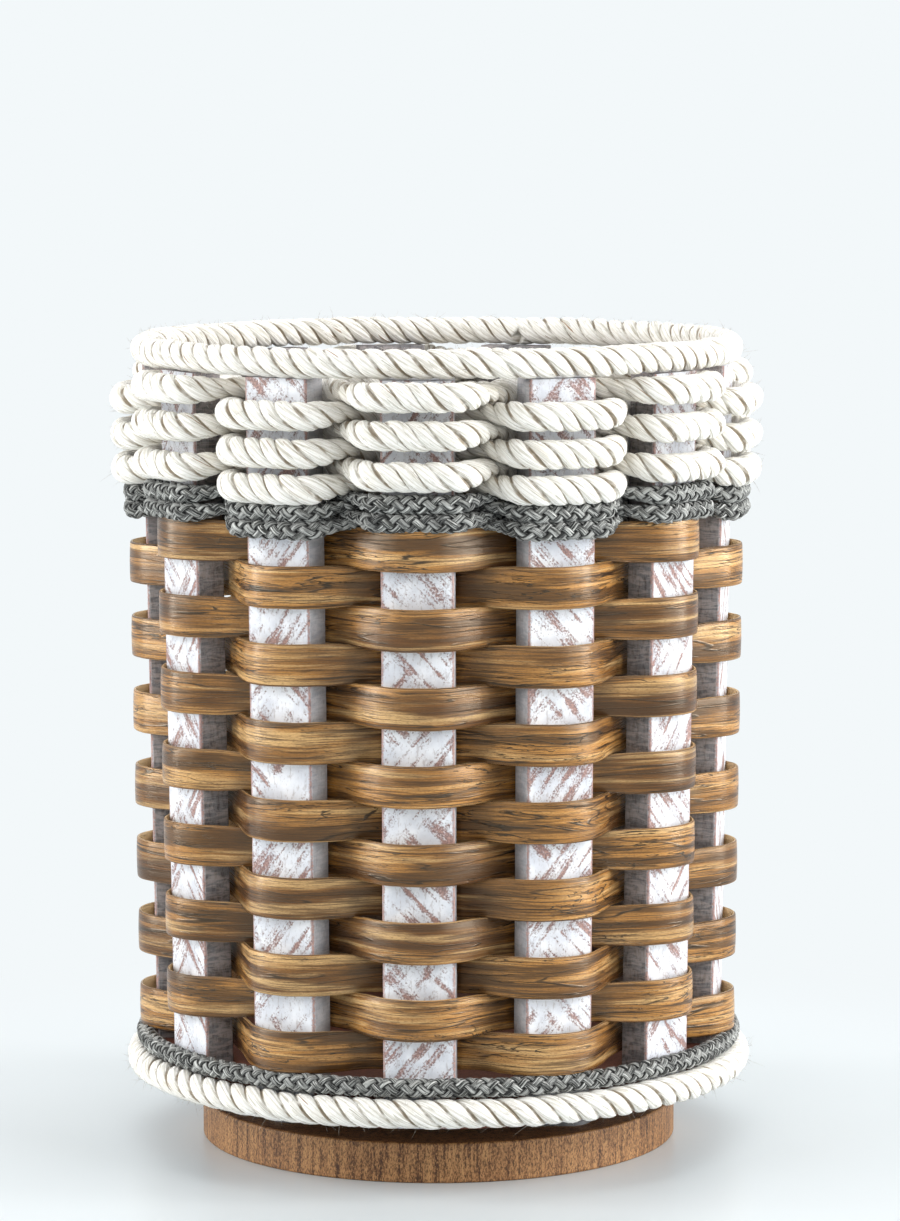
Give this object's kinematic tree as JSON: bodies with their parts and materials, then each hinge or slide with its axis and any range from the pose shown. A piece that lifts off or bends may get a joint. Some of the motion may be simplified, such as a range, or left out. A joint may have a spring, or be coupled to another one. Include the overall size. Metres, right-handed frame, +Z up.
{
  "type": "utensil lazy susan",
  "caption": "Round woven basket for kitchen utensils, with slats, flat reed, braided cord and rope, that turns on a ball-bearing swivel over a wooden disc.",
  "frame": {"origin": "middle of the turntable disc's underside, on the table", "axes": "+Z up the turning axis, first slat towards -Y"},
  "size_m": [0.206, 0.2046, 0.2583],
  "materials": {
    "turntable_wood": "oiled red-brown hardwood",
    "zinc_steel": "zinc-plated steel",
    "floor_wood": "plain sanded wood",
    "whitewashed_wood": "worn whitewash over brown wood",
    "reed": "walnut-stained flat reed, satin",
    "cream_rope": "three-strand cotton rope",
    "grey_cord": "round braided cord, heathered grey"
  },
  "bodies": {
    "base": {"turntable_base": "turntable_wood", "bearing_lower_plate": "zinc_steel", "base_screws": "zinc_steel"},
    "ball_ring": {"bearing_balls": "zinc_steel", "ball_cage": "zinc_steel"},
    "basket": {"bearing_upper_plate": "zinc_steel", "basket_screws": "zinc_steel", "base_board": "floor_wood", "stake_01": "whitewashed_wood", "stake_02": "whitewashed_wood", "stake_03": "whitewashed_wood", "stake_04": "whitewashed_wood", "stake_05": "whitewashed_wood", "stake_06": "whitewashed_wood", "stake_07": "whitewashed_wood", "stake_08": "whitewashed_wood", "stake_09": "whitewashed_wood", "stake_10": "whitewashed_wood", "stake_11": "whitewashed_wood", "stake_12": "whitewashed_wood", "stake_13": "whitewashed_wood", "stake_brads": "zinc_steel", "reed_row_01": "reed", "reed_row_02": "reed", "reed_row_03": "reed", "reed_row_04": "reed", "reed_row_05": "reed", "reed_row_06": "reed", "reed_row_07": "reed", "reed_row_08": "reed", "reed_row_09": "reed", "reed_row_10": "reed", "reed_row_11": "reed", "reed_row_12": "reed", "reed_row_13": "reed", "reed_row_14": "reed", "cord_weave": "grey_cord", "rope_weave": "cream_rope", "rim_rope": "cream_rope", "foot_rope": "cream_rope", "foot_cord": "grey_cord"}
  },
  "joints": [
    {"name": "basket_spin", "type": "hinge", "parent": "base", "child": "basket", "pos_m": [0, 0, 0.0207], "axis": [0, 0, 1], "continuous": true},
    {"name": "ball_spin", "type": "hinge", "parent": "base", "child": "ball_ring", "pos_m": [0, 0, 0.0167], "axis": [0, 0, 1], "continuous": true}
  ],
  "couplings": [
    {"joint": "ball_spin", "follows": "basket_spin", "ratio": 0.5}
  ]
}
